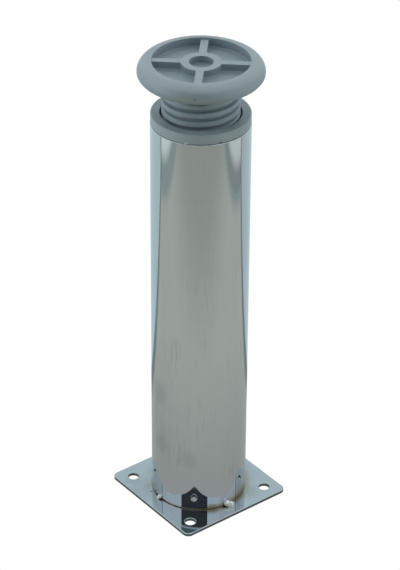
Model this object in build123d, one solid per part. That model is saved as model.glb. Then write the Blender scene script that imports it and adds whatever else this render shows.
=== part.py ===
from build123d import *
import os
from math import cos, radians, sin

# Adjustable cabinet leg: a round steel tube tacked to a square screw plate, with a
# plastic threaded insert in its far end and a one-piece plastic levelling foot.
# Millimetres. The origin is the centre of the plate's outer face, which goes against
# the cabinet. +Z runs along the tube towards the foot, and the plate's sides lie along X and Y.

# Mounting plate
PLATE_SIDE = 80.0
PLATE_THICKNESS = 2.0
PLATE_CORNER_RADIUS = 4.0
PLATE_EDGE_ROUND = 0.3
SCREW_HOLE_SPACING = 60.0
SCREW_HOLE_RADIUS = 3.5

# Leg tube
TUBE_RADIUS = 30.0
TUBE_WALL = 1.5
TUBE_LENGTH = 263.5
TUBE_EDGE_ROUND = 0.25
TUBE_FOOT_CHAMFER = 0.4

# Tack welds between tube and plate, one near the middle of each side of the plate
TACK_ANGLES = (0.0, 90.0, 177.5, 269.5)
TACK_RADII = (3.2, 3.8, 3.6, 4.3)

# Threaded insert: a collar that caps the tube and a ribbed plug inside it
COLLAR_SETBACK = 0.2
COLLAR_HEIGHT = 6.4
COLLAR_TOP_ROUND = 0.7
COLLAR_JOINT_ROUND = 0.35
MOUTH_GAP = 1.1
MOUTH_DEPTH = 4.0
PLUG_LENGTH = 35.0
PLUG_GAP = 0.6
PLUG_WALL = 4.2
GRIP_RIB_COUNT = 12
GRIP_RIB_WIDTH = 1.5
GRIP_RIB_CLEARANCE = 0.05
STEM_CLEARANCE = 0.3

# Foot disc: a rounded rim around a recess with a boss and four ribs
DISC_RADIUS = 37.6
DISC_HEIGHT = 13.6
RIM_DROP = 7.2
RIM_LAND = 1.2
RIM_INNER_ROUND = 0.3
RECESS_RADIUS = 29.0
RECESS_DEPTH = 5.6
FACE_SETBACK = 1.05
BOSS_RADIUS = 12.0
BOSS_HOLE_RADIUS = 7.2
BOSS_HOLE_DEPTH = 4.0
FOOT_RIB_COUNT = 4
FOOT_RIB_WIDTH = 4.6
FOOT_RIB_ANGLE = 48.0
POCKET_ROUND = 0.6

# Foot stem: a plain neck under the disc, then a hollow stem with a coarse thread
NECK_HEIGHT = 5.6
NECK_PROUD = 0.1
STEM_LENGTH = 52.0
STEM_WALL = 3.0
STEM_END_CHAMFER = 0.8
THREAD_DEPTH = 1.5
THREAD_PITCH = 5.7
THREAD_CREST = 2.6
THREAD_FLANK = 0.8
THREAD_CREST_ROUND = 0.35
THREAD_SINK = 0.4
THREAD_TURNS = 8
THREAD_END_DROP = 2.6
THREAD_END_ANGLE = 52.0

# Height of the foot as shown: how far its disc stands off the collar
FOOT_STAND_OFF = 20.1

BOTTOM = (Align.CENTER, Align.CENTER, Align.MIN)

# Heights along the leg
TUBE_TOP = PLATE_THICKNESS + TUBE_LENGTH
COLLAR_TOP = TUBE_TOP + COLLAR_HEIGHT
DISC_UNDERSIDE = COLLAR_TOP + FOOT_STAND_OFF
RIM_TOP = DISC_UNDERSIDE + DISC_HEIGHT
FACE_TOP = RIM_TOP - FACE_SETBACK
RECESS_FLOOR = RIM_TOP - RECESS_DEPTH
STEM_BOTTOM = DISC_UNDERSIDE - STEM_LENGTH
STEM_CROWN = RECESS_FLOOR - STEM_WALL

# Radii that follow from the tube, from its wall inwards to the foot's stem
COLLAR_RADIUS = TUBE_RADIUS - COLLAR_SETBACK
TUBE_BORE_RADIUS = TUBE_RADIUS - TUBE_WALL
PLUG_RADIUS = TUBE_BORE_RADIUS - PLUG_GAP
INSERT_BORE_RADIUS = PLUG_RADIUS - PLUG_WALL
NECK_RADIUS = INSERT_BORE_RADIUS - STEM_CLEARANCE
MOUTH_RADIUS = NECK_RADIUS + MOUTH_GAP
THREAD_RADIUS = NECK_RADIUS - NECK_PROUD
ROOT_RADIUS = THREAD_RADIUS - THREAD_DEPTH
STEM_BORE_RADIUS = ROOT_RADIUS - STEM_WALL


def cylinder(radius, bottom, top):
    """A round solid on the leg's axis, between two heights."""
    return Pos(0, 0, bottom) * Cylinder(radius, top - bottom, align=BOTTOM)


def ring(outer, inner, bottom, top):
    """A tube on the leg's axis, between two heights."""
    return cylinder(outer, bottom, top) - cylinder(inner, bottom, top)


def edges_at(shape, height):
    """The edges of a shape that lie flat at one height."""
    return shape.edges().filter_by_position(Axis.Z, height, height)


def mounting_plate():
    """The square plate with rounded corners and four screw holes."""
    outline = RectangleRounded(PLATE_SIDE, PLATE_SIDE, PLATE_CORNER_RADIUS)
    plate = extrude(outline, PLATE_THICKNESS)
    plate = fillet(edges_at(plate, PLATE_THICKNESS), PLATE_EDGE_ROUND)
    holes = GridLocations(SCREW_HOLE_SPACING, SCREW_HOLE_SPACING, 2, 2)
    for place in holes.locations:
        plate -= place * Cylinder(SCREW_HOLE_RADIUS, PLATE_THICKNESS, align=BOTTOM)
    return plate


def leg_tube():
    """The round tube that stands on the plate, its cut edges slightly broken."""
    tube = ring(TUBE_RADIUS, TUBE_BORE_RADIUS, PLATE_THICKNESS, TUBE_TOP)
    foot_edges = edges_at(tube, PLATE_THICKNESS).sort_by(SortBy.LENGTH)
    tube = chamfer(foot_edges[-1], TUBE_FOOT_CHAMFER)
    return fillet(edges_at(tube, TUBE_TOP), TUBE_EDGE_ROUND)


def tack_weld(angle, radius):
    """A small bead in the corner between the tube's wall and the plate."""
    turn = radians(angle)
    bead = Pos(TUBE_RADIUS * cos(turn), TUBE_RADIUS * sin(turn), PLATE_THICKNESS) * Sphere(radius)
    bead -= cylinder(TUBE_RADIUS, PLATE_THICKNESS - radius, PLATE_THICKNESS + radius)
    bead -= cylinder(PLATE_SIDE, PLATE_THICKNESS - radius, PLATE_THICKNESS)
    return bead


def threaded_insert():
    """The collar, the plug and its grip ribs, bored for the foot's stem.

    The bore is plain: the foot slides in it without turning.
    """
    collar = cylinder(COLLAR_RADIUS, TUBE_TOP, COLLAR_TOP)
    collar = fillet(edges_at(collar, COLLAR_TOP), COLLAR_TOP_ROUND)
    collar = fillet(edges_at(collar, TUBE_TOP), COLLAR_JOINT_ROUND)
    plug_bottom = TUBE_TOP - PLUG_LENGTH
    body = collar + cylinder(PLUG_RADIUS, plug_bottom, TUBE_TOP)
    rib_reach = TUBE_BORE_RADIUS - GRIP_RIB_CLEARANCE
    grip = ring(rib_reach, INSERT_BORE_RADIUS, plug_bottom, TUBE_TOP)
    blade = Box(rib_reach, GRIP_RIB_WIDTH, PLUG_LENGTH, align=(Align.MIN, Align.CENTER, Align.MIN))
    for index in range(GRIP_RIB_COUNT):
        turn = Rot(0, 0, index * 360.0 / GRIP_RIB_COUNT)
        body += grip & (turn * Pos(0, 0, plug_bottom) * blade)
    body -= cylinder(INSERT_BORE_RADIUS, plug_bottom, COLLAR_TOP)
    body -= cylinder(MOUTH_RADIUS, COLLAR_TOP - MOUTH_DEPTH, COLLAR_TOP)
    return body


def foot_disc():
    """The solid disc and its neck, turned from one outline."""
    rim_centre = RECESS_RADIUS + RIM_LAND
    widest = RIM_TOP - RIM_DROP
    neck_bottom = DISC_UNDERSIDE - NECK_HEIGHT
    upper = EllipticalCenterArc(
        (rim_centre, widest), DISC_RADIUS - rim_centre, RIM_DROP, start_angle=0, arc_size=90
    )
    lower = EllipticalCenterArc(
        (NECK_RADIUS, widest),
        DISC_RADIUS - NECK_RADIUS,
        widest - DISC_UNDERSIDE,
        start_angle=270,
        arc_size=90,
    )
    inside = Polyline(
        (NECK_RADIUS, DISC_UNDERSIDE),
        (NECK_RADIUS, neck_bottom),
        (0, neck_bottom),
        (0, RIM_TOP),
        (rim_centre, RIM_TOP),
    )
    section = Plane.XZ * make_face([upper, lower, *inside.edges()])
    return revolve(section, Axis.Z)


def foot_pockets():
    """The hollow between the rim, the boss and the ribs, split into four pockets."""
    pockets = ring(RECESS_RADIUS, BOSS_RADIUS, RECESS_FLOOR, FACE_TOP)
    depth = FACE_TOP - RECESS_FLOOR
    blade = Box(RECESS_RADIUS, FOOT_RIB_WIDTH, depth, align=(Align.MIN, Align.CENTER, Align.MIN))
    for index in range(FOOT_RIB_COUNT):
        turn = Rot(0, 0, FOOT_RIB_ANGLE + index * 360.0 / FOOT_RIB_COUNT)
        pockets -= turn * Pos(0, 0, RECESS_FLOOR) * blade
    corners = pockets.edges().filter_by(Axis.Z)
    pockets = fillet(corners, POCKET_ROUND)
    return fillet(edges_at(pockets, RECESS_FLOOR), POCKET_ROUND)


def foot_thread():
    """The right-handed ridge around the stem, with a rounded trapezoid section."""
    height = THREAD_TURNS * THREAD_PITCH
    start = DISC_UNDERSIDE - THREAD_END_DROP - height
    path = Helix(THREAD_PITCH, height, ROOT_RADIUS)
    half_crest = THREAD_CREST / 2
    half_base = half_crest + THREAD_FLANK * (THREAD_DEPTH + THREAD_SINK) / THREAD_DEPTH
    outline = Polyline(
        (-THREAD_SINK, -half_base),
        (THREAD_DEPTH, -half_crest),
        (THREAD_DEPTH, half_crest),
        (-THREAD_SINK, half_base),
        close=True,
    )
    section = make_face(outline)
    crest = section.vertices().filter_by_position(Axis.X, THREAD_DEPTH, THREAD_DEPTH)
    section = fillet(crest, THREAD_CREST_ROUND)
    along = path % 0
    place = Plane(origin=path @ 0, x_dir=(1, 0, 0), z_dir=(0, -along.Y, -along.Z))
    ridge = sweep(place * section, path=path, is_frenet=True)
    return Pos(0, 0, start) * Rot(0, 0, THREAD_END_ANGLE) * ridge


def foot_stem():
    """The solid stem with its thread, its free end chamfered."""
    core = cylinder(ROOT_RADIUS, STEM_BOTTOM, STEM_CROWN)
    core = chamfer(edges_at(core, STEM_BOTTOM), STEM_END_CHAMFER)
    return core + foot_thread()


def levelling_foot():
    """The one-piece foot: ribbed disc, neck and hollow threaded stem."""
    foot = foot_disc() + foot_stem()
    foot -= cylinder(STEM_BORE_RADIUS, STEM_BOTTOM, STEM_CROWN)
    foot -= cylinder(RECESS_RADIUS, FACE_TOP, RIM_TOP)
    rim_edge = edges_at(foot, RIM_TOP).sort_by(SortBy.LENGTH)[0]
    foot = fillet(rim_edge, RIM_INNER_ROUND)
    foot -= foot_pockets()
    foot -= cylinder(BOSS_HOLE_RADIUS, FACE_TOP - BOSS_HOLE_DEPTH, FACE_TOP)
    return foot


parts = {
    "mounting_plate": mounting_plate(),
    "leg_tube": leg_tube(),
    "threaded_insert": threaded_insert(),
    "levelling_foot": levelling_foot(),
}
for number, (angle, radius) in enumerate(zip(TACK_ANGLES, TACK_RADII), start=1):
    parts[f"tack_weld_{number}"] = tack_weld(angle, radius)

os.makedirs("parts", exist_ok=True)
for name, shape in parts.items():
    export_step(shape, f"parts/{name}.step")
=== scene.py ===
"""Looks of the adjustable cabinet leg: plated steel, weld beads, moulded plastic and the light tent."""

import logging
import math
from dataclasses import dataclass, field
from enum import Enum
from functools import cached_property

import bpy
from bpy.types import Material, Node, NodeSocket as Socket, NodeTree, Object
from mathutils import Euler, Matrix, Vector

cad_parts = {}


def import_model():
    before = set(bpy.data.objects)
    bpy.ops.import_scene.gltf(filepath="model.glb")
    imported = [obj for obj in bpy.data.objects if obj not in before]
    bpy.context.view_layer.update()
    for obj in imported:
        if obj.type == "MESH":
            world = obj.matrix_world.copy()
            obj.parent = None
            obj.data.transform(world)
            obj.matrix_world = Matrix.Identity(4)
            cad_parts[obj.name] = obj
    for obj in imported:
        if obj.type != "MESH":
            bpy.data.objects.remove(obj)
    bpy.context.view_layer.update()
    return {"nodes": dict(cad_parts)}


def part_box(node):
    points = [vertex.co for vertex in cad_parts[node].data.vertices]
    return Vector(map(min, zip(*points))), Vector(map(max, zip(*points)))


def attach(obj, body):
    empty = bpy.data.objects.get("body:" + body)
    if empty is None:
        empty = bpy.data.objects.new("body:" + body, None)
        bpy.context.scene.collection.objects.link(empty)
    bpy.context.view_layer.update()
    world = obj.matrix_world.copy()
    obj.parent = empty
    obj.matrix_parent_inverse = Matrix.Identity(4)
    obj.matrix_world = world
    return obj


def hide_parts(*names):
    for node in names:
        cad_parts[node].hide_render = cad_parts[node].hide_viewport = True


MM = 0.001
TURN_OF_VIEW = math.radians(-38.03)
TUBE_RADIUS = 30.0 * MM
PLATE_TOP = 2.0 * MM
TUBE_TOP = 265.5 * MM
ORIGIN = (0.0, 0.0, 0.0)
WHITE = (1.0, 1.0, 1.0)

Colour = tuple[float, float, float]
Fade = tuple[float, ...]  # where it starts and ends, then the two levels where they aren't 0 and 1
Feed = float | tuple[float, ...] | Socket
log = logging.getLogger("cabinet_leg")


class Run(Enum):
    """The direction in which a metal's drawn or rolled streaks run."""

    UP = (1.0, 1.0, 0.02)
    ACROSS = (0.03, 1.0, 1.0)


def in_view(x: float, y: float, z: float) -> Vector:
    """Turns a place given along the photograph's view into the leg's own frame.

    Args:
        x: Distance to the right of the leg's axis, as the photograph sees it.
        y: Distance behind the axis.
        z: Height.

    Returns:
        The place in the leg's frame.
    """
    return Matrix.Rotation(TURN_OF_VIEW, 3, "Z") @ Vector((x, y, z))


class Bench:
    """Makes and joins the nodes of one tree."""

    def __init__(self, tree: NodeTree) -> None:
        """Takes a tree and empties it."""
        self.tree = tree
        tree.nodes.clear()

    def add(self, kind: str, inputs: dict | None = None, **settings) -> Node:
        """Adds a node, sets its options and fills or joins its inputs.

        Args:
            kind: The node's type name.
            inputs: Socket name or number to a plain value or to the socket that feeds it.
            settings: Options of the node itself.

        Returns:
            The new node.
        """
        node = self.tree.nodes.new(kind)
        for name, value in settings.items():
            setattr(node, name, value)
        for key, value in (inputs or {}).items():
            socket = node.inputs[key]
            if isinstance(value, Socket):
                self.tree.links.new(value, socket)
            elif socket.type == "RGBA" and len(value) == 3:
                socket.default_value = (*value, 1.0)
            else:
                socket.default_value = value
        return node

    def math(self, operation: str, *values: Feed) -> Socket:
        """Adds a Math node and returns its output."""
        return self.add("ShaderNodeMath", dict(enumerate(values)), operation=operation).outputs[0]

    def times(self, first: Feed, second: Feed) -> Socket:
        """Multiplies two values."""
        return self.math("MULTIPLY", first, second)

    def plus(self, first: Feed, second: Feed) -> Socket:
        """Adds two values."""
        return self.math("ADD", first, second)

    def minus(self, first: Feed, second: Feed) -> Socket:
        """Takes the second value from the first."""
        return self.math("SUBTRACT", first, second)

    def vector(self, operation: str, *values: Feed) -> Socket:
        """Adds a Vector Math node and returns its vector."""
        node = self.add("ShaderNodeVectorMath", dict(enumerate(values)), operation=operation)
        return node.outputs["Vector"]

    def measure(self, operation: str, *values: Feed) -> Socket:
        """Adds a Vector Math node that gives a number, such as a length, and returns the number."""
        node = self.add("ShaderNodeVectorMath", dict(enumerate(values)), operation=operation)
        return node.outputs["Value"]

    def height(self, place: Socket) -> Socket:
        """Returns how high a point lies, or the upward part of a direction."""
        return self.add("ShaderNodeSeparateXYZ", {0: place}).outputs[2]

    def off_axis(self, place: Socket) -> Socket:
        """Returns how far a point lies from the leg's axis."""
        return self.measure("LENGTH", self.vector("MULTIPLY", place, (1.0, 1.0, 0.0)))

    def behind(self, place: Socket) -> Socket:
        """Returns how far a point lies behind the leg's axis, as the photograph sees it."""
        return self.measure("DOT_PRODUCT", place, tuple(in_view(0.0, 1.0, 0.0)))

    def aside(self, place: Socket) -> Socket:
        """Returns how far a point lies to the right of the leg's axis, as the photograph sees it."""
        return self.measure("DOT_PRODUCT", place, tuple(in_view(1.0, 0.0, 0.0)))

    def noise(self, place: Socket, scale: Feed, detail: float = 2.0, roughness: float = 0.5,
              distortion: float = 0.0) -> Socket:
        """Adds a Noise Texture and returns its value."""
        return self.add("ShaderNodeTexNoise", {
            "Vector": place, "Scale": scale, "Detail": detail, "Roughness": roughness,
            "Distortion": distortion,
        }).outputs["Fac"]

    def ramp(self, value: Feed, low: Feed, high: Feed, to_low: float = 0.0, to_high: float = 1.0) -> Socket:
        """Maps a value from one range to another with a smooth step, and returns the output."""
        inputs = {"Value": value, "From Min": low, "From Max": high, "To Min": to_low, "To Max": to_high}
        return self.add("ShaderNodeMapRange", inputs, interpolation_type="SMOOTHSTEP").outputs[0]

    def blend(self, factor: Feed, first: Feed, second: Feed, mode: str = "MIX") -> Socket:
        """Mixes two colours and returns the output."""
        inputs = {0: factor, 6: first, 7: second}
        return self.add("ShaderNodeMix", inputs, data_type="RGBA", blend_type=mode).outputs[2]

    def use(self, group: NodeTree, **inputs: Feed) -> Socket:
        """Places a shader node group with its inputs and returns its first output."""
        named = {name.replace("_", " ").capitalize(): value for name, value in inputs.items()}
        return self.add("ShaderNodeGroup", named, node_tree=group).outputs[0]

    def bump(self, height: Socket, strength: float, distance: float) -> Node:
        """Adds a Bump node and returns it."""
        return self.add("ShaderNodeBump", {"Strength": strength, "Distance": distance, "Height": height})

    def end(self, shader: Node, output: str = "ShaderNodeOutputMaterial") -> None:
        """Ends the tree with this shader."""
        self.add(output, {"Surface": shader.outputs[0]})


class Effects:
    """The shader node groups that several finishes share, each built when it is first used."""

    @staticmethod
    def start(name: str, inputs: dict[str, Feed], output: str = "Mask") -> tuple[Bench, dict[str, Socket]]:
        """Opens a new group with named sockets.

        Args:
            name: The group's name.
            inputs: Socket name to default value, a tuple for a vector.
            output: The name of its one output.

        Returns:
            The bench for its nodes and the sockets of its inputs by name.
        """
        tree = bpy.data.node_groups.new(name, "ShaderNodeTree")
        for label, value in inputs.items():
            kind = "NodeSocketVector" if isinstance(value, tuple) else "NodeSocketFloat"
            socket = tree.interface.new_socket(label, in_out="INPUT", socket_type=kind)
            socket.default_value = value
        tree.interface.new_socket(output, in_out="OUTPUT", socket_type="NodeSocketFloat")
        bench = Bench(tree)
        entry = bench.add("NodeGroupInput")
        return bench, {label: entry.outputs[label] for label in inputs}

    @staticmethod
    def close(bench: Bench, value: Socket) -> NodeTree:
        """Joins a value to the group's output and returns the group."""
        bench.add("NodeGroupOutput", {0: value})
        return bench.tree

    @cached_property
    def streaks(self) -> NodeTree:
        """Fine lines drawn out along one direction, from 0 to 1."""
        bench, given = self.start("streaks", {"Vector": ORIGIN, "Run": (1, 1, 1), "Fineness": 900.0})
        drawn = bench.vector("MULTIPLY", given["Vector"], given["Run"])
        lines = bench.noise(drawn, given["Fineness"], detail=3.0, roughness=0.6)
        return self.close(bench, bench.ramp(lines, 0.3, 0.7))

    @cached_property
    def smudges(self) -> NodeTree:
        """Soft cloudy patches, as finger marks leave, from 0 to 1."""
        bench, given = self.start("smudges", {"Vector": ORIGIN, "Size": 40.0, "Cover": 0.5})
        cloud = bench.noise(given["Vector"], given["Size"], detail=5.0, roughness=0.62, distortion=0.5)
        start = bench.minus(0.72, bench.times(given["Cover"], 0.4))
        return self.close(bench, bench.ramp(cloud, start, bench.plus(start, 0.25)))

    @cached_property
    def specks(self) -> NodeTree:
        """Small scattered grains of dust, 1 on a grain and 0 between."""
        bench, given = self.start("specks", {"Vector": ORIGIN, "Spacing": 300.0, "Cover": 0.1})
        cells = bench.add("ShaderNodeTexVoronoi", {"Vector": given["Vector"], "Scale": given["Spacing"]})
        chance = bench.add("ShaderNodeSeparateColor", {0: cells.outputs["Color"]}).outputs[0]
        picked = bench.math("LESS_THAN", chance, given["Cover"])
        grain = bench.ramp(cells.outputs["Distance"], 0.12, 0.2, 1.0, 0.0)
        return self.close(bench, bench.times(picked, grain))

    @cached_property
    def grain(self) -> NodeTree:
        """The fine even texture of a moulded or blasted surface, as a height from 0 to 1."""
        bench, given = self.start("grain", {"Vector": ORIGIN, "Fineness": 2500.0}, "Height")
        return self.close(bench, bench.noise(given["Vector"], given["Fineness"]))

    @cached_property
    def edge_wear(self) -> NodeTree:
        """Where an edge is turned away from its faces, broken up by noise, from 0 to 1."""
        bench, given = self.start("edge_wear", {"Vector": ORIGIN, "Breadth": 0.4 * MM, "Break up": 0.5})
        rounded = bench.add("ShaderNodeBevel", {"Radius": given["Breadth"]}, samples=4).outputs[0]
        true = bench.add("ShaderNodeNewGeometry").outputs["Normal"]
        turned = bench.ramp(bench.measure("DOT_PRODUCT", rounded, true), 0.86, 0.995, 1.0, 0.0)
        broken = bench.minus(bench.noise(given["Vector"], 260.0, detail=3.0), given["Break up"])
        return self.close(bench, bench.times(turned, bench.ramp(broken, -0.15, 0.15)))

    @cached_property
    def spot(self) -> NodeTree:
        """A soft spot with a ragged edge round a given centre, 1 in its middle."""
        inputs = {"Vector": ORIGIN, "Centre": ORIGIN, "Reach": 2.0 * MM, "Squash": 1.0}
        bench, given = self.start("spot", inputs)
        aside = bench.vector("SUBTRACT", given["Vector"], given["Centre"])
        shape = bench.add("ShaderNodeCombineXYZ", {0: 1.0, 1: 1.0, 2: given["Squash"]}).outputs[0]
        far = bench.measure("LENGTH", bench.vector("MULTIPLY", aside, shape))
        share = bench.math("DIVIDE", far, given["Reach"])
        ragged = bench.plus(share, bench.minus(bench.noise(given["Vector"], 700.0), 0.5))
        return self.close(bench, bench.ramp(ragged, 0.3, 1.0, 1.0, 0.0))

    @cached_property
    def strokes(self) -> NodeTree:
        """Short dark rubs that run along the tube, gathered in a few places, from 0 to 1."""
        bench, given = self.start("strokes", {"Vector": ORIGIN, "Run": (1, 1, 0.07), "Fineness": 620.0})
        drawn = bench.vector("MULTIPLY", given["Vector"], given["Run"])
        lines = bench.ramp(bench.noise(drawn, given["Fineness"], distortion=0.3), 0.52, 0.66)
        places = bench.ramp(bench.noise(given["Vector"], 28.0, detail=3.0), 0.44, 0.62)
        return self.close(bench, bench.times(lines, places))

    @cached_property
    def upright(self) -> NodeTree:
        """Marks the faces that stand along the leg, such as cut sides and hole walls, with 1."""
        bench, given = self.start("upright", {"Lean": 0.1})
        normal = bench.add("ShaderNodeTexCoord").outputs["Normal"]
        lean = bench.math("ABSOLUTE", bench.height(normal))
        return self.close(bench, bench.ramp(bench.minus(lean, given["Lean"]), 0.0, 0.25, 1.0, 0.0))

    @cached_property
    def hollow(self) -> NodeTree:
        """How far in a point lies from an outer to an inner radius, below a height: 1 at the bottom."""
        inputs = {"Vector": ORIGIN, "Outer": 23.0 * MM, "Inner": 22.0 * MM, "Top": 290.0 * MM}
        bench, given = self.start("hollow", inputs)
        depth = bench.ramp(bench.off_axis(given["Vector"]), given["Outer"], given["Inner"])
        below = bench.math("LESS_THAN", bench.height(given["Vector"]), given["Top"])
        return self.close(bench, bench.times(depth, below))

    @cached_property
    def seam_ring(self) -> NodeTree:
        """How near a point is to the circle where the tube meets the plate: 1 on it, 0 past its reach."""
        inputs = {"Vector": ORIGIN, "Radius": TUBE_RADIUS, "Height": PLATE_TOP, "Reach": 5.0 * MM}
        bench, given = self.start("seam_ring", inputs)
        aside = bench.minus(bench.off_axis(given["Vector"]), given["Radius"])
        above = bench.minus(bench.height(given["Vector"]), given["Height"])
        squared = bench.plus(bench.times(aside, aside), bench.times(above, above))
        share = bench.math("DIVIDE", bench.math("SQRT", squared), given["Reach"])
        return self.close(bench, bench.ramp(share, 0.15, 1.0, 1.0, 0.0))


@dataclass(frozen=True)
class Mark:
    """A small dark or pale spot at one place on the leg: a mark of its own, or a patch of painted shade or
    light.

    The place is given by its distance from the axis, its angle in the leg's frame in degrees, and its
    height. The lengths are in millimetres.
    """

    radius: float
    angle: float
    height: float
    reach: float
    tone: Colour
    strength: float = 0.8
    squash: float = 1.0

    def lay(self, bench: Bench, effects: Effects, place: Socket, colour: Socket) -> Socket:
        """Lays the spot over a colour.

        Args:
            bench: The bench of the material.
            effects: The shared node groups.
            place: The socket of object coordinates.
            colour: The colour so far.

        Returns:
            The colour with the spot on it.
        """
        turn, out = math.radians(self.angle), self.radius * MM
        centre = (out * math.cos(turn), out * math.sin(turn), self.height * MM)
        spot = bench.use(effects.spot, vector=place, centre=centre, reach=self.reach * MM,
                         squash=self.squash)
        return bench.blend(bench.times(spot, self.strength), colour, self.tone)


@dataclass(frozen=True)
class PlatedSteel:
    """Bright plated steel with drawn streaks, dull smudges, the warm tint of welding by the seam, and
    darker cut sides that are partly painted shade.
    """

    name: str
    run: Run
    colour: Colour = (0.60, 0.625, 0.62)
    dull: Colour = (0.50, 0.53, 0.53)
    streak_fineness: float = 1500.0
    streak_level: float = 0.25
    smudge_size: float = 26.0
    smudge_cover: float = 0.55
    smudge_level: float = 0.5
    dust_spacing: float = 260.0
    dust_cover: float = 0.03
    dust_level: float = 0.4
    polish: float = 0.012
    dulling: float = 0.05
    soil_at_dullest: float = 0.6
    relief: float = 0.05
    relief_depth: float = 0.02 * MM
    heat: Colour = (0.40, 0.34, 0.26)
    heat_level: float = 0.5
    heat_reach: float = 9.0 * MM
    heat_patch_size: float = 45.0
    heat_roughness: float = 0.03
    temper: Colour = (0.595, 0.61, 0.67)
    temper_level: float = 0.3
    temper_reach: float = 26.0 * MM
    tan: Colour = (0.42, 0.37, 0.28)
    tan_level: float = 0.75
    tan_reach: float = 4.5 * MM
    tan_side: Fade = (3.0 * MM, 14.0 * MM)
    burnt: Colour = (0.15, 0.12, 0.09)
    burnt_reach: float = 1.3 * MM
    burnt_roughness: float = 0.35
    burnt_side: Fade = (3.0 * MM, 16.0 * MM, 1.0, 0.4)
    burnt_depth: Fade = (-16.0 * MM, -8.0 * MM, 1.0, 0.3)
    fleck_size: float = 500.0
    fleck_cover: float = 1.1
    gap: Colour = (0.03, 0.035, 0.04)
    gap_side: Fade = (-23.0 * MM, -19.0 * MM, 1.0, 0.0)
    worn: Colour = (0.38, 0.40, 0.41)
    strokes: float = 0.0
    stroke_low: float = 120.0 * MM
    stroke_high: float = 200.0 * MM
    stroke_share_above: float = 0.15
    sheared_and_shaded_sides: bool = False
    sheared_and_shaded: Colour = (0.13, 0.15, 0.16)
    sheared_roughness: float = 0.3
    edge_round: float = 0.0
    edge_samples: int = 8
    marks: tuple[Mark, ...] = ()

    def tinted(self, bench: Bench, effects: Effects, place: Socket, colour: Socket) -> tuple[Socket, ...]:
        """Tints a colour round the seam: bluish furthest out, then warm, tan and burnt.

        Args:
            bench: The bench of the material.
            effects: The shared node groups.
            place: The socket of object coordinates.
            colour: The colour so far.

        Returns:
            The tinted colour, and how heated and how burnt the metal is, each from 0 to 1.
        """
        def ring(reach: float) -> Socket:
            return bench.use(effects.seam_ring, vector=place, reach=reach)

        aside = bench.aside(place)
        patchy = bench.use(effects.smudges, vector=place, size=self.heat_patch_size, cover=1.0)
        flecks = bench.use(effects.smudges, vector=place, size=self.fleck_size, cover=self.fleck_cover)
        heated = bench.times(ring(self.heat_reach), patchy)
        tanned = bench.times(bench.ramp(aside, *self.tan_side), self.tan_level)
        scorched = bench.times(ring(self.burnt_reach), bench.ramp(aside, *self.burnt_side))
        scorched = bench.times(scorched, bench.ramp(bench.behind(place), *self.burnt_depth))
        line = bench.blend(flecks, self.burnt, self.tan)
        line = bench.blend(bench.ramp(aside, *self.gap_side), line, self.gap)
        tempered = bench.times(ring(self.temper_reach), self.temper_level)
        colour = bench.blend(tempered, colour, self.temper)
        colour = bench.blend(bench.times(heated, self.heat_level), colour, self.heat)
        colour = bench.blend(bench.times(ring(self.tan_reach), tanned), colour, self.tan)
        return bench.blend(scorched, colour, line), heated, scorched

    def material(self, effects: Effects) -> Material:
        """Builds the finish.

        Args:
            effects: The shared node groups.

        Returns:
            The new material.
        """
        made, bench, place = new_material(self.name)
        lines = bench.use(effects.streaks, vector=place, run=self.run.value, fineness=self.streak_fineness)
        smudged = bench.use(effects.smudges, vector=place, size=self.smudge_size, cover=self.smudge_cover)
        dust = bench.use(effects.specks, vector=place, spacing=self.dust_spacing, cover=self.dust_cover)
        soiled = bench.math("MAXIMUM", bench.times(lines, self.streak_level),
                            bench.times(smudged, self.smudge_level))
        colour = bench.blend(soiled, self.colour, self.dull)
        colour, heated, scorched = self.tinted(bench, effects, place, colour)
        colour = bench.blend(bench.times(dust, self.dust_level), colour, self.dull)
        rough = bench.ramp(soiled, 0.0, self.soil_at_dullest, self.polish, self.polish + self.dulling)
        rough = bench.plus(rough, bench.times(heated, self.heat_roughness))
        rough = bench.plus(rough, bench.times(scorched, self.burnt_roughness))
        if self.strokes:
            low = bench.ramp(bench.height(place), self.stroke_low, self.stroke_high, self.strokes,
                             self.stroke_share_above * self.strokes)
            rubbed = bench.use(effects.strokes, vector=place)
            colour = bench.blend(bench.times(rubbed, low), colour, self.worn)
        for mark in self.marks:
            colour = mark.lay(bench, effects, place, colour)
        # Cut sides and hole walls: darker sheared steel, with painted shade for the shaded floor that they
        # mirror.
        if self.sheared_and_shaded_sides:
            side = bench.use(effects.upright)
            colour = bench.blend(side, colour, self.sheared_and_shaded)
            rough = bench.plus(rough, bench.times(side, self.sheared_roughness))
        bump = bench.bump(lines, self.relief, self.relief_depth)
        if self.edge_round:
            rounded = bench.add("ShaderNodeBevel", {"Radius": self.edge_round}, samples=self.edge_samples)
            bench.tree.links.new(rounded.outputs[0], bump.inputs["Normal"])
        bench.end(bench.add("ShaderNodeBsdfPrincipled", {
            "Base Color": colour, "Metallic": 1.0, "Roughness": rough, "Normal": bump.outputs[0],
        }))
        return made


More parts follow.
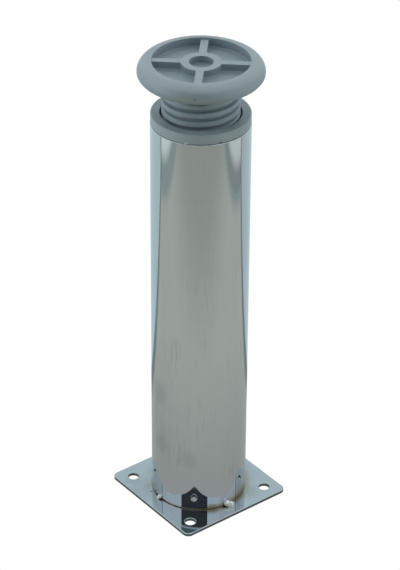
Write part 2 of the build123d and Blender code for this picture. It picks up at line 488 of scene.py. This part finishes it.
@dataclass(frozen=True)
class WeldMetal:
    """Bare weld metal: grey, rough and darkest in its hollows."""

    name: str
    colour: Colour = (0.70, 0.72, 0.70)
    scale: Colour = (0.09, 0.08, 0.07)
    patch_size: float = 260.0
    patch_cover: float = 0.12
    root_reach: float = 2.4 * MM
    clean_roughness: float = 0.24
    burnt_roughness: float = 0.6
    grain_fineness: float = 1800.0
    relief: float = 0.12
    relief_depth: float = 0.1 * MM

    def material(self, effects: Effects) -> Material:
        """Builds the finish.

        Args:
            effects: The shared node groups.

        Returns:
            The new material.
        """
        made, bench, place = new_material(self.name)
        patches = bench.use(effects.smudges, vector=place, size=self.patch_size, cover=self.patch_cover)
        root = bench.use(effects.seam_ring, vector=place, reach=self.root_reach)
        burnt = bench.math("MAXIMUM", patches, root)
        fine = bench.use(effects.grain, vector=place, fineness=self.grain_fineness)
        rough = bench.ramp(burnt, 0.0, 1.0, self.clean_roughness, self.burnt_roughness)
        bench.end(bench.add("ShaderNodeBsdfPrincipled", {
            "Base Color": bench.blend(burnt, self.colour, self.scale), "Metallic": 0.9, "Roughness": rough,
            "Normal": bench.bump(fine, self.relief, self.relief_depth).outputs[0],
        }))
        return made


@dataclass(frozen=True)
class MouldedPlastic:
    """Grey moulded plastic with a fine grain, paler rubbed edges, a little dust, and painted shade and
    light.

    A piece that leaves the hollow, land, pocket, face or joint at 0 doesn't have it.
    """

    name: str
    colour: Colour = (0.272, 0.364, 0.402)
    shade: Colour = (0.24, 0.32, 0.35)
    shade_size: float = 55.0
    shade_cover: float = 0.6
    shade_level: float = 0.6
    rubbed: Colour = (0.42, 0.49, 0.51)
    rub_breadth: float = 0.35 * MM
    rub_break_up: float = 0.45
    rub_level: float = 0.5
    dust: Colour = (0.6, 0.62, 0.62)
    dust_spacing: float = 420.0
    dust_cover: float = 0.05
    dust_level: float = 0.35
    gloss: float = 0.42
    gloss_loss: float = 0.1
    sheen: float = 0.85
    grain_fineness: float = 2600.0
    relief: float = 0.12
    relief_depth: float = 0.05 * MM
    # Painted shade, for the hollows between the threads and for the line by the joint.
    painted_shade: Colour = (0.06, 0.08, 0.09)
    hollow_outer: float = 0.0
    hollow_inner: float = 0.0
    hollow_top: float = 0.0
    hollow_shade_level: float = 0.64
    pale: Colour = (0.41, 0.50, 0.525)
    land: float = 0.0
    land_light_level: float = 0.3
    face_light_level: float = 0.0
    pocket: float = 0.0
    pocket_foot: float = 0.0
    pocket_shade: Colour = (0.15, 0.215, 0.24)
    pocket_shade_level: float = 0.36
    soft: float = 1.0 * MM
    above_all: float = 1.0
    joint: float = 0.0
    joint_shade_line: Fade = (0.3 * MM, 0.8 * MM, 0.8, 0.0)
    marks: tuple[Mark, ...] = ()

    def shaped(self, bench: Bench, effects: Effects, place: Socket, colour: Socket) -> Socket:
        """Paints shade into a piece's hollows, pocket walls and joint, and paints light onto its land and
        upright faces.

        Args:
            bench: The bench of the material.
            effects: The shared node groups.
            place: The socket of object coordinates.
            colour: The colour so far.

        Returns:
            The colour with the painted shade and light that go with the piece's shape.
        """
        height = bench.height(place)
        # Painted shade: the hollows between the threads darken towards their root.
        if self.hollow_outer:
            depth = bench.use(effects.hollow, vector=place, outer=self.hollow_outer,
                              inner=self.hollow_inner, top=self.hollow_top)
            colour = bench.blend(bench.times(depth, self.hollow_shade_level), colour, self.painted_shade)
        # Painted light: the land at the top of the piece is made paler where the light falls on it.
        if self.land:
            level = bench.ramp(height, self.land - self.soft, self.land, 0.0, self.land_light_level)
            colour = bench.blend(level, colour, self.pale)
        # Painted shade on the upright walls inside the pocket.
        if self.pocket:
            inside = bench.use(effects.hollow, vector=place, outer=self.pocket,
                               inner=self.pocket - self.soft, top=self.above_all)
            inside = bench.times(inside, bench.math("GREATER_THAN", height, self.pocket_foot))
            walls = bench.times(inside, bench.use(effects.upright))
            colour = bench.blend(bench.times(walls, self.pocket_shade_level), colour, self.pocket_shade)
        # Painted light: the piece's upright faces are made paler, as the light from the floor falls on
        # them.
        if self.face_light_level:
            face = bench.times(bench.use(effects.upright), self.face_light_level)
            colour = bench.blend(face, colour, self.pale)
        # Painted shade: a dark band at the foot of the piece, just above the joint.
        if self.joint:
            start, end, *levels = self.joint_shade_line
            line = bench.ramp(height, self.joint + start, self.joint + end, *levels)
            colour = bench.blend(line, colour, self.painted_shade)
        return colour

    def material(self, effects: Effects) -> Material:
        """Builds the finish.

        Args:
            effects: The shared node groups.

        Returns:
            The new material.
        """
        made, bench, place = new_material(self.name)
        cloudy = bench.use(effects.smudges, vector=place, size=self.shade_size, cover=self.shade_cover)
        worn = bench.use(effects.edge_wear, vector=place, breadth=self.rub_breadth,
                         break_up=self.rub_break_up)
        dust = bench.use(effects.specks, vector=place, spacing=self.dust_spacing, cover=self.dust_cover)
        fine = bench.use(effects.grain, vector=place, fineness=self.grain_fineness)
        colour = bench.blend(bench.times(cloudy, self.shade_level), self.colour, self.shade)
        colour = bench.blend(bench.times(worn, self.rub_level), colour, self.rubbed)
        colour = bench.blend(bench.times(dust, self.dust_level), colour, self.dust)
        colour = self.shaped(bench, effects, place, colour)
        for mark in self.marks:
            colour = mark.lay(bench, effects, place, colour)
        bench.end(bench.add("ShaderNodeBsdfPrincipled", {
            "Base Color": colour, "Metallic": 0.0,
            "Roughness": bench.ramp(cloudy, 0.0, 1.0, self.gloss, self.gloss + self.gloss_loss),
            "Normal": bench.bump(fine, self.relief, self.relief_depth).outputs[0],
            "Specular IOR Level": self.sheen,
        }))
        return made


def new_material(name: str) -> tuple[Material, Bench, Socket]:
    """Starts a material.

    Args:
        name: The material's name.

    Returns:
        The material, the bench for its nodes and the socket of object coordinates.
    """
    made = bpy.data.materials.new(name)
    made.use_nodes = True
    bench = Bench(made.node_tree)
    place = bench.add("ShaderNodeTexCoord").outputs["Object"]
    return made, bench, place


@dataclass
class Camera:
    """The photograph's camera, fitted to the leg's outlines."""

    distance: float = 1457.15 * MM
    pitch: float = math.radians(31.9096)
    roll: float = math.radians(0.372)
    aim_height: float = 159.915 * MM
    picture_width: float = 400.0
    picture_height: float = 570.0
    focal_pixels: float = 2387.18
    centre_x: float = 199.913
    centre_y: float = 273.746
    sensor: float = 36.0
    nearest: float = 0.05
    furthest: float = 50.0

    def place(self) -> None:
        """Makes the camera and gives it to the scene."""
        data = bpy.data.cameras.new("view_camera")
        data.sensor_width = self.sensor
        data.lens = self.focal_pixels * self.sensor / self.picture_height
        data.shift_x = (self.picture_width / 2 - self.centre_x) / self.picture_height
        data.shift_y = (self.centre_y - self.picture_height / 2) / self.picture_height
        data.clip_start = self.nearest
        data.clip_end = self.furthest
        camera = bpy.data.objects.new("view_camera", data)
        bpy.context.scene.collection.objects.link(camera)
        back = Vector((0.0, -math.cos(self.pitch), math.sin(self.pitch)))
        turn = Matrix.Rotation(TURN_OF_VIEW, 4, "Z")
        tilt = Euler((math.pi / 2 - self.pitch, 0.0, 0.0)).to_matrix().to_4x4()
        place = Matrix.Translation(Vector((0.0, 0.0, self.aim_height)) + back * self.distance)
        camera.matrix_world = turn @ place @ tilt @ Matrix.Rotation(self.roll, 4, "Z")
        bpy.context.scene.camera = camera


@dataclass
class LightTent:
    """The small photo tent round the leg: what the bright metal mirrors, the pale floor and the lamps."""

    left: float = -430.0 * MM
    right: float = 418.0 * MM
    back: float = 116.0 * MM
    bow: float = 0.14
    bow_centre: float = 80.0 * MM
    back_pieces: int = 24
    front: float = 530.0 * MM
    front_pieces: int = 16
    front_left: float = -54.0
    front_right: float = 52.0
    opening_left: float = -41.6
    opening_right: float = 21.5
    height: float = 700.0 * MM
    floor_reach: float = 3.0
    floor_drop: float = 0.2 * MM
    floor_cloth: Colour = (0.46, 0.49, 0.48)
    floor_tone: Colour = (0.53, 0.56, 0.53)
    far_tone: Colour = (0.40, 0.43, 0.40)
    far_fade: Fade = (-450.0 * MM, -150.0 * MM, 1.0, 0.0)
    shade_tone: Colour = (0.20, 0.23, 0.25)
    shade_behind: float = 20.0 * MM
    shade_fade: Fade = (40.0 * MM, 240.0 * MM, 0.38, 0.0)
    wall_tone: Colour = (0.56, 0.70, 0.76)
    high_tone: Colour = (0.72, 0.86, 0.92)
    high_fade: Fade = (100.0 * MM, 400.0 * MM)
    right_tint: Colour = (0.93, 0.87, 0.87)
    right_fade: Fade = (0.0, 350.0 * MM)
    crease: float = 13.0 * MM
    crease_soft: float = 6.0 * MM
    crease_shade: Colour = (0.22, 0.27, 0.285)
    crease_fade: Fade = (0.0, 30.0 * MM, 1.0, 0.0)
    fold: float = 28.0 * MM
    fold_full: float = 0.4
    side_tone: Colour = (0.74, 0.86, 0.87)
    side_crease: float = 25.0 * MM
    side_soft: float = 11.0 * MM
    side_crease_shade: Colour = (0.34, 0.41, 0.42)
    side_fade: Fade = (0.0, 42.0 * MM, 1.0, 0.0)
    roof_tone: Colour = (1.05, 1.12, 1.18)
    roof_light: float = 0.56
    rear_light: float = 0.76
    rear_focus: float = 3.0
    lamp_size: float = 0.6
    lamp_front: float = 100.0 * MM
    lamp_height: float = 500.0 * MM
    lamp_aim: float = 200.0 * MM
    lamps_aside: dict[str, tuple[float, float]] = field(default_factory=lambda: {
        "left_lamp": (-900.0 * MM, 2.8), "right_lamp": (900.0 * MM, 2.4),
    })
    opening: dict[str, tuple[float, float, Colour]] = field(default_factory=lambda: {
        "tent_sill": (0.0, 282.0 * MM, (0.50, 0.59, 0.61)),
        "tent_flap": (282.0 * MM, 350.0 * MM, (0.05, 0.09, 0.10)),
        "tent_hem": (350.0 * MM, 362.0 * MM, (0.32, 0.36, 0.44)),
        "tent_gap": (362.0 * MM, 406.6 * MM, (0.056, 0.064, 0.075)),
        "tent_rail": (406.6 * MM, 408.2 * MM, (0.62, 0.70, 0.78)),
        "tent_dark_top": (408.2 * MM, 700.0 * MM, (0.11, 0.19, 0.24)),
    })

    def surface(self, name: str, points: list[Vector], faces: list[tuple[int, ...]],
                material: Material) -> Object:
        """Makes one studio surface.

        Args:
            name: The surface's name.
            points: Its corners in the leg's frame.
            faces: Its faces.
            material: Its finish.

        Returns:
            The new object.
        """
        mesh = bpy.data.meshes.new(name)
        mesh.from_pydata([tuple(p) for p in points], [], faces)
        mesh.materials.append(material)
        made = bpy.data.objects.new(name, mesh)
        bpy.context.scene.collection.objects.link(made)
        return made

    def curtain(self, name: str, feet: list[tuple[float, float]], low: float, high: float,
                cloth: Material) -> None:
        """Hangs a cloth that only mirrored rays meet.

        Args:
            name: The cloth's name.
            feet: The points that it hangs over, each given to the right of the axis and behind it.
            low: Its lower edge.
            high: Its upper edge.
            cloth: Its finish.
        """
        points = [in_view(x, y, z) for x, y in feet for z in (low, high)]
        faces = [(2 * i, 2 * i + 2, 2 * i + 3, 2 * i + 1) for i in range(len(feet) - 1)]
        made = self.surface(name, points, faces, cloth)
        made.visible_camera = made.visible_diffuse = made.visible_shadow = False

    def bowed(self, x: float) -> float:
        """Gives how far behind the leg the back wall stands, at a distance to the right."""
        return self.back - self.bow * (x - self.bow_centre) ** 2

    def arc(self, start: float, end: float) -> list[tuple[float, float]]:
        """Gives points on a bow round the front of the leg.

        Args:
            start: The angle of its left end, with 0 towards the camera and minus to the left.
            end: The angle of its right end.

        Returns:
            The points, each given to the right of the axis and behind it.
        """
        count = self.front_pieces
        turns = [math.radians(start + (end - start) * index / count) for index in range(count + 1)]
        return [(self.front * math.sin(turn), -self.front * math.cos(turn)) for turn in turns]

    def glow(self, name: str, foot: Colour, wall: Colour, edge: float, soft: float,
             corner: float = 1.0) -> Material:
        """A lit cloth wall with a darker fold along its foot and down its far corner.

        Args:
            name: The material's name.
            foot: The colour of the painted shade in the fold along its foot.
            wall: The wall's colour.
            edge: The height of the fold along its foot.
            soft: How far the fold's edge fades.
            corner: How far behind the leg its far corner stands, by default out of reach.

        Returns:
            The new material.
        """
        made, bench, place = new_material(name)
        height = bench.height(place)
        colour = bench.blend(bench.ramp(height, edge - soft, edge + soft), foot, wall)
        colour = bench.blend(bench.ramp(height, *self.high_fade), colour, self.high_tone)
        far_right = bench.ramp(bench.aside(place), *self.right_fade)
        colour = bench.blend(far_right, colour, bench.blend(1.0, colour, self.right_tint, "MULTIPLY"))
        folded = bench.ramp(bench.behind(place), corner - self.fold, corner - self.fold_full * self.fold)
        colour = bench.blend(folded, colour, self.crease_shade)
        bench.end(bench.add("ShaderNodeEmission", {"Color": colour}))
        return made

    @staticmethod
    def plain(name: str, tone: Colour) -> Material:
        """An evenly lit cloth of one tone."""
        made, bench, _ = new_material(name)
        bench.end(bench.add("ShaderNodeEmission", {"Color": tone}))
        return made

    def floor_material(self) -> Material:
        """Plain white to the camera, warm grey in the metal, and pale to the lamps."""
        made, bench, place = new_material("pale_floor")
        rays = bench.add("ShaderNodeLightPath").outputs
        depth, aside = bench.behind(place), bench.aside(place)
        tone = bench.blend(bench.ramp(depth, *self.far_fade), self.floor_tone, self.far_tone)
        off = bench.minus(aside, self.bow_centre)
        bowed = bench.times(bench.times(off, off), self.bow)
        back_gap = bench.minus(self.back, bench.plus(depth, bowed))
        # Painted shade where the floor runs into the back wall and the sides, as the metal mirrors it.
        tone = bench.blend(bench.ramp(back_gap, *self.crease_fade), tone, self.crease_shade)
        side_gap = bench.math("MINIMUM", bench.minus(aside, self.left), bench.minus(self.right, aside))
        tone = bench.blend(bench.ramp(side_gap, *self.side_fade), tone, self.side_crease_shade)
        shade_centre = tuple(in_view(0.0, self.shade_behind, 0.0))
        shaded = bench.ramp(bench.measure("DISTANCE", place, shade_centre), *self.shade_fade)
        tone = bench.blend(shaded, tone, self.shade_tone)
        mirrored = bench.math("MAXIMUM", rays["Is Glossy Ray"], rays["Is Transmission Ray"])
        light = bench.add("ShaderNodeEmission", {"Color": bench.blend(rays["Is Camera Ray"], tone, WHITE)})
        cloth = bench.add("ShaderNodeBsdfDiffuse", {"Color": self.floor_cloth})
        either = bench.math("MAXIMUM", rays["Is Camera Ray"], mirrored)
        bench.end(bench.add("ShaderNodeMixShader", {0: either, 1: cloth.outputs[0], 2: light.outputs[0]}))
        return made

    def walls(self) -> None:
        """Sets up the floor, the bowed back wall, the two sides and the front with its dark opening."""
        reach = self.floor_reach
        corners = [Vector((x * reach, y * reach, 0.0)) for x, y in ((-1, -1), (1, -1), (1, 1), (-1, 1))]
        floor = self.surface("floor", corners, [(0, 1, 2, 3)], self.floor_material())
        floor.location.z = -self.floor_drop
        steps = range(self.back_pieces + 1)
        across = [self.left + (self.right - self.left) * index / self.back_pieces for index in steps]
        cloth = self.glow("tent_back", self.crease_shade, self.wall_tone, self.crease, self.crease_soft)
        self.curtain("tent_back", [(x, self.bowed(x)) for x in across], 0.0, self.height, cloth)
        for name, x in (("tent_left", self.left), ("tent_right", self.right)):
            corner = self.bowed(x)
            cloth = self.glow(name, self.side_crease_shade, self.side_tone, self.side_crease,
                              self.side_soft, corner)
            self.curtain(name, [(x, -self.front), (x, corner)], 0.0, self.height, cloth)
        for name, (low, high, tone) in self.opening.items():
            feet = self.arc(self.opening_left, self.opening_right)
            self.curtain(name, feet, low, high, self.plain(name, tone))
        cloth = self.plain("tent_front", self.high_tone)
        for name, start, end in (("tent_front_left", self.front_left, self.opening_left),
                                 ("tent_front_right", self.opening_right, self.front_right)):
            self.curtain(name, self.arc(start, end), 0.0, self.height, cloth)

    @staticmethod
    def lobe(bench: Bench, way: Socket, towards: Vector, strength: float, focus: float = 1.0) -> Socket:
        """Soft light that is strongest from one direction.

        Args:
            bench: The bench of the world's nodes.
            way: The direction looked in.
            towards: Where the light comes from.
            strength: Its level at the strongest.
            focus: How quickly it falls off, as a power of the cosine.

        Returns:
            The level in the direction looked in.
        """
        facing = bench.math("MAXIMUM", bench.measure("DOT_PRODUCT", way, tuple(towards)), 0.0)
        return bench.times(bench.math("POWER", facing, focus), strength)

    def lamps(self) -> None:
        """Hangs the soft lamps and sets the light that comes from all round."""
        for name, (aside, power) in self.lamps_aside.items():
            data = bpy.data.lights.new(name, "AREA")
            data.size = self.lamp_size
            data.energy = power
            made = bpy.data.objects.new(name, data)
            bpy.context.scene.collection.objects.link(made)
            made.location = in_view(aside, -self.lamp_front, self.lamp_height)
            aim = Vector((0.0, 0.0, self.lamp_aim)) - made.location
            made.rotation_mode = "QUATERNION"
            made.rotation_quaternion = aim.to_track_quat("-Z", "Y")
        world = bpy.data.worlds.new("tent_light")
        world.use_nodes = True
        bench = Bench(world.node_tree)
        rays = bench.add("ShaderNodeLightPath").outputs
        way = bench.add("ShaderNodeTexCoord").outputs["Generated"]
        roof = self.lobe(bench, way, Vector((0.0, 0.0, 1.0)), self.roof_light)
        rear = self.lobe(bench, way, in_view(0.0, 1.0, 1.0).normalized(), self.rear_light, self.rear_focus)
        seen = bench.blend(rays["Is Glossy Ray"], bench.plus(roof, rear), self.roof_tone)
        shown = bench.blend(rays["Is Camera Ray"], seen, WHITE)
        bench.end(bench.add("ShaderNodeBackground", {"Color": shown}), "ShaderNodeOutputWorld")
        bpy.context.scene.world = world


@dataclass(frozen=True)
class Bead:
    """The shape of one bead: its lobes, how far they stray and lean along the seam, and its size."""

    lobes: int
    spread: float
    slant: float = 0.0
    size: float = 1.0


@dataclass
class WeldBeads:
    """The four tack welds between tube and plate: each a small frozen puddle of a few lobes.

    The shares are parts of a bead's reach, which comes from the height of its plain solid.
    """

    grid: float = 0.16 * MM
    seed: int = 7
    seed_gap: int = 50
    away_share: float = 0.56
    climb_share: float = 0.85
    smallest_drop: float = 0.42
    largest_drop: float = 0.6
    dent_size: float = 330.0
    dent_level: float = 0.55
    dent_depth: float = 0.9 * MM
    beads: dict[str, Bead] = field(default_factory=lambda: {
        "tack_weld_1": Bead(3, 0.5), "tack_weld_2": Bead(4, 0.6),
        "tack_weld_3": Bead(2, 0.1, -0.3, 0.8), "tack_weld_4": Bead(2, 0.1, 0.5, 1.08),
    })

    @staticmethod
    def start() -> tuple[Bench, bpy.types.bpy_prop_collection]:
        """Opens the tree with its named sockets, and returns the bench for it and its inputs."""
        tree = bpy.data.node_groups.new("weld_puddle", "GeometryNodeTree")
        for label, kind in (("Lobes", "Int"), ("Seed", "Int"), ("Reach", "Float"), ("Angle", "Float"),
                            ("Seam radius", "Float"), ("Seam height", "Float"), ("Grid", "Float"),
                            ("Spread", "Float"), ("Slant", "Float"), ("Finish", "Material")):
            tree.interface.new_socket(label, in_out="INPUT", socket_type=f"NodeSocket{kind}")
        tree.interface.new_socket("Geometry", in_out="OUTPUT", socket_type="NodeSocketGeometry")
        bench = Bench(tree)
        return bench, bench.add("NodeGroupInput").outputs

    @staticmethod
    def chance(bench: Bench, low: float, high: float, seed: Socket) -> Socket:
        """Draws a number between two limits for each point."""
        inputs = {2: low, 3: high, "Seed": seed}
        return bench.add("FunctionNodeRandomValue", inputs, data_type="FLOAT").outputs[1]

    def spots(self, bench: Bench, given: bpy.types.bpy_prop_collection) -> Socket:
        """Spreads the lobes round the seam's corner, from the plate up the tube.

        Args:
            bench: The bench of the tree.
            given: The tree's inputs.

        Returns:
            The place of each lobe.
        """
        index = bench.add("GeometryNodeInputIndex").outputs[0]
        share = bench.math("DIVIDE", bench.plus(index, 0.5), given["Lobes"])
        climb = bench.times(share, math.pi / 2)
        away = bench.times(given["Reach"], self.away_share)
        outward = bench.times(bench.math("COSINE", climb), away)
        upward = bench.times(bench.math("SINE", climb), bench.times(away, self.climb_share))
        lean = bench.times(bench.math("MULTIPLY_ADD", share, -2.0, 1.0), given["Slant"])
        jitter = self.chance(bench, -1.0, 1.0, given["Seed"])
        along = bench.times(bench.math("MULTIPLY_ADD", jitter, given["Spread"], lean), given["Reach"])
        turn = bench.plus(given["Angle"], bench.math("DIVIDE", along, given["Seam radius"]))
        radius = bench.plus(given["Seam radius"], outward)
        return bench.add("ShaderNodeCombineXYZ", {
            0: bench.times(bench.math("COSINE", turn), radius),
            1: bench.times(bench.math("SINE", turn), radius),
            2: bench.plus(given["Seam height"], upward),
        }).outputs[0]

    def tree(self) -> NodeTree:
        """Builds the tree that lays the lobes, melts them together and roughens them."""
        bench, given = self.start()
        spots = self.spots(bench, given)
        size = self.chance(bench, self.smallest_drop, self.largest_drop,
                           bench.plus(given["Seed"], self.seed_gap))
        drop = bench.times(size, given["Reach"])
        points = bench.add("GeometryNodePoints", {
            "Count": given["Lobes"], "Position": spots, "Radius": drop,
        })
        full = bench.add("GeometryNodePointsToVolume", {
            "Points": points.outputs[0], "Voxel Size": given["Grid"], "Radius": drop,
        }, resolution_mode="VOXEL_SIZE")
        skin = bench.add("GeometryNodeVolumeToMesh", {
            "Volume": full.outputs[0], "Voxel Size": given["Grid"],
        }, resolution_mode="VOXEL_SIZE")
        where = bench.add("GeometryNodeInputPosition").outputs[0]
        offset = bench.add("ShaderNodeCombineXYZ", {0: given["Seed"], 1: given["Seed"], 2: 0.0})
        dents = bench.noise(bench.vector("ADD", where, offset.outputs[0]), self.dent_size, detail=1.0)
        lift = bench.times(bench.minus(dents, self.dent_level), self.dent_depth)
        normal = bench.add("GeometryNodeInputNormal").outputs[0]
        push = bench.add("ShaderNodeVectorMath", {0: normal, "Scale": lift}, operation="SCALE")
        made = bench.add("GeometryNodeSetPosition", {
            "Geometry": skin.outputs[0], "Offset": push.outputs[0],
        })
        made = bench.add("GeometryNodeRealizeInstances", {0: made.outputs[0]})
        made = bench.add("GeometryNodeSetShadeSmooth", {0: made.outputs[0]})
        made = bench.add("GeometryNodeSetMaterial", {0: made.outputs[0], "Material": given["Finish"]})
        bench.add("NodeGroupOutput", {0: made.outputs[0]})
        return bench.tree

    def build(self, finish: Material) -> None:
        """Lays each bead where its plain solid stands in the frame.

        Args:
            finish: The weld metal.
        """
        tree = self.tree()
        for number, (node, bead) in enumerate(self.beads.items()):
            low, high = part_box(node)
            centre = (low + high) / 2
            made = grown(f"{node}_bead", tree, {
                "Lobes": bead.lobes, "Spread": bead.spread, "Slant": bead.slant,
                "Seed": self.seed + number, "Reach": bead.size * (high.z - low.z),
                "Angle": math.atan2(centre.y, centre.x), "Seam radius": TUBE_RADIUS,
                "Seam height": PLATE_TOP, "Grid": self.grid, "Finish": finish,
            })
            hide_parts(node)
            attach(made, "leg")
            log.info("%s: %d lobes, %d faces", made.name, bead.lobes, len(made.data.polygons))


def grown(name: str, tree: NodeTree, sizes: dict[str, object]) -> Object:
    """Runs a geometry tree once and keeps its result as a plain mesh.

    Args:
        name: The new object's name.
        tree: The tree to run.
        sizes: The tree's input names and their values.

    Returns:
        The finished object, with no modifier on it.
    """
    made = bpy.data.objects.new(name, bpy.data.meshes.new(name))
    bpy.context.scene.collection.objects.link(made)
    modifier = made.modifiers.new("grow", "NODES")
    modifier.node_group = tree
    for item in tree.interface.items_tree:
        if item.in_out == "INPUT" and item.name in sizes:
            modifier[item.identifier] = sizes[item.name]
    graph = bpy.context.evaluated_depsgraph_get()
    mesh = bpy.data.meshes.new_from_object(made.evaluated_get(graph), depsgraph=graph)
    made.modifiers.clear()
    made.data = mesh
    mesh.name = name
    return made


@dataclass
class Dressed:
    """Nodes of the frame that keep their solids and take a finish each."""

    finishes: dict[str, PlatedSteel | MouldedPlastic] = field(default_factory=dict)

    def build(self, nodes: dict[str, Object], effects: Effects) -> None:
        """Gives each node its finish in every slot.

        Args:
            nodes: The frame's nodes by name.
            effects: The shared node groups.
        """
        for node, finish in self.finishes.items():
            material = finish.material(effects)
            for slot in nodes[node].material_slots:
                slot.material = material
            log.info("%s: %s", node, finish.name)


@dataclass
class SteelLeg(Dressed):
    """The plate and the tube that is tacked to it."""

    finishes: dict[str, PlatedSteel] = field(default_factory=lambda: {
        "mounting_plate": PlatedSteel(
            "plate_steel", Run.ACROSS, dulling=0.012, relief=0.001, smudge_size=45.0, sheared_and_shaded_sides=True,
            edge_round=1.1 * MM, heat_level=0.35,
            marks=(
                Mark(31.0, 249.0, 2.0, 5.5, (0.36, 0.31, 0.24), 0.6),
                Mark(33.0, 303.0, 2.0, 10.0, (0.45, 0.41, 0.34), 0.45),
                Mark(33.0, 152.0, 2.0, 4.5, (0.40, 0.35, 0.29), 0.5),
                Mark(41.1, 140.4, 2.0, 9.0, (0.44, 0.47, 0.47), 0.6),
                Mark(39.0, 162.0, 2.0, 13.0, (0.46, 0.49, 0.49), 0.6),
                Mark(31.8, 161.6, 2.0, 1.1, (0.06, 0.07, 0.07)),
                Mark(41.2, 155.4, 2.0, 0.6, (0.10, 0.12, 0.12)),
            ),
        ),
        "leg_tube": PlatedSteel(
            "tube_steel", Run.UP, dulling=0.015, relief=0.015, strokes=0.4, heat_level=0.15,
            temper_level=0.75,
            marks=(
                Mark(30.0, 247.0, 2.5, 10.0, (0.34, 0.30, 0.23), 0.75, 2.6),
                Mark(30.0, 295.0, 2.5, 12.0, (0.36, 0.32, 0.25), 0.7, 2.6),
                Mark(30.0, 175.5, 83.0, 10.0, (0.40, 0.43, 0.44), 0.45, 0.8),
                Mark(30.0, 180.6, 46.0, 9.0, (0.42, 0.44, 0.44), 0.4, 0.9),
                Mark(30.0, 219.6, 40.7, 8.0, (0.44, 0.45, 0.45), 0.4, 0.8),
            ),
        ),
    })


@dataclass
class PlasticEnd(Dressed):
    """The insert in the tube's end and the foot that screws into it."""

    finishes: dict[str, MouldedPlastic] = field(default_factory=lambda: {
        "threaded_insert": MouldedPlastic(
            "insert_plastic", colour=(0.30, 0.38, 0.41), joint=TUBE_TOP, face_light_level=0.45,
            marks=(
                Mark(29.8, 254.9, 266.0, 1.9, (0.02, 0.025, 0.03), 0.9, 1.6),
                Mark(29.8, 215.0, 266.1, 1.7, (0.7, 0.72, 0.7), 0.9, 1.8),
                # Painted shade on the collar's face to the front right.
                Mark(30.0, 287.0, 268.5, 16.0, (0.20, 0.26, 0.26), 0.4, 0.6),
            ),
        ),
        "levelling_foot": MouldedPlastic(
            "foot_plastic", hollow_outer=23.0 * MM, hollow_inner=21.9 * MM, hollow_top=288.0 * MM,
            land=303.5 * MM, pocket=32.0 * MM, pocket_foot=292.5 * MM,
            marks=(
                # Painted shade under the disc, tinted olive as painted bounce light: on the neck, then on
                # the rim's underside.
                Mark(23.6, 232.0, 288.6, 20.0, (0.23, 0.29, 0.26), 0.6, 4.5),
                Mark(36.5, 227.0, 297.0, 24.0, (0.30, 0.35, 0.31), 0.7, 4.5),
                Mark(37.0, 226.3, 299.0, 1.7, (0.12, 0.15, 0.15), 0.55),
                # Painted shade: the dark line in the crease between the disc and the neck.
                Mark(23.3, 225.0, 288.2, 13.0, (0.05, 0.07, 0.07), 0.85, 10.0),
                # Painted shade on the back of the rim.
                Mark(36.0, 52.0, 303.0, 20.0, (0.20, 0.28, 0.31), 0.55),
                Mark(0.0, 0.0, 300.5, 7.2, (0.18, 0.25, 0.28), 0.55),
                # Painted light: lifts the shade of the lowest hollow at the front, where the thread meets
                # the collar.
                Mark(22.0, 232.0, 271.2, 24.0, (0.19, 0.26, 0.285), 0.5, 7.0),
            ),
        ),
    })


def main() -> None:
    """Loads the leg, sets up the view and the tent, and dresses each piece."""
    logging.basicConfig(level=logging.INFO, format="%(name)s: %(message)s")
    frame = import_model()
    bpy.context.scene.view_settings.view_transform = "Standard"
    Camera().place()
    tent = LightTent()
    tent.walls()
    tent.lamps()
    effects = Effects()
    SteelLeg().build(frame["nodes"], effects)
    WeldBeads().build(WeldMetal("weld_metal").material(effects))
    PlasticEnd().build(frame["nodes"], effects)


if __name__ == "__main__":
    main()
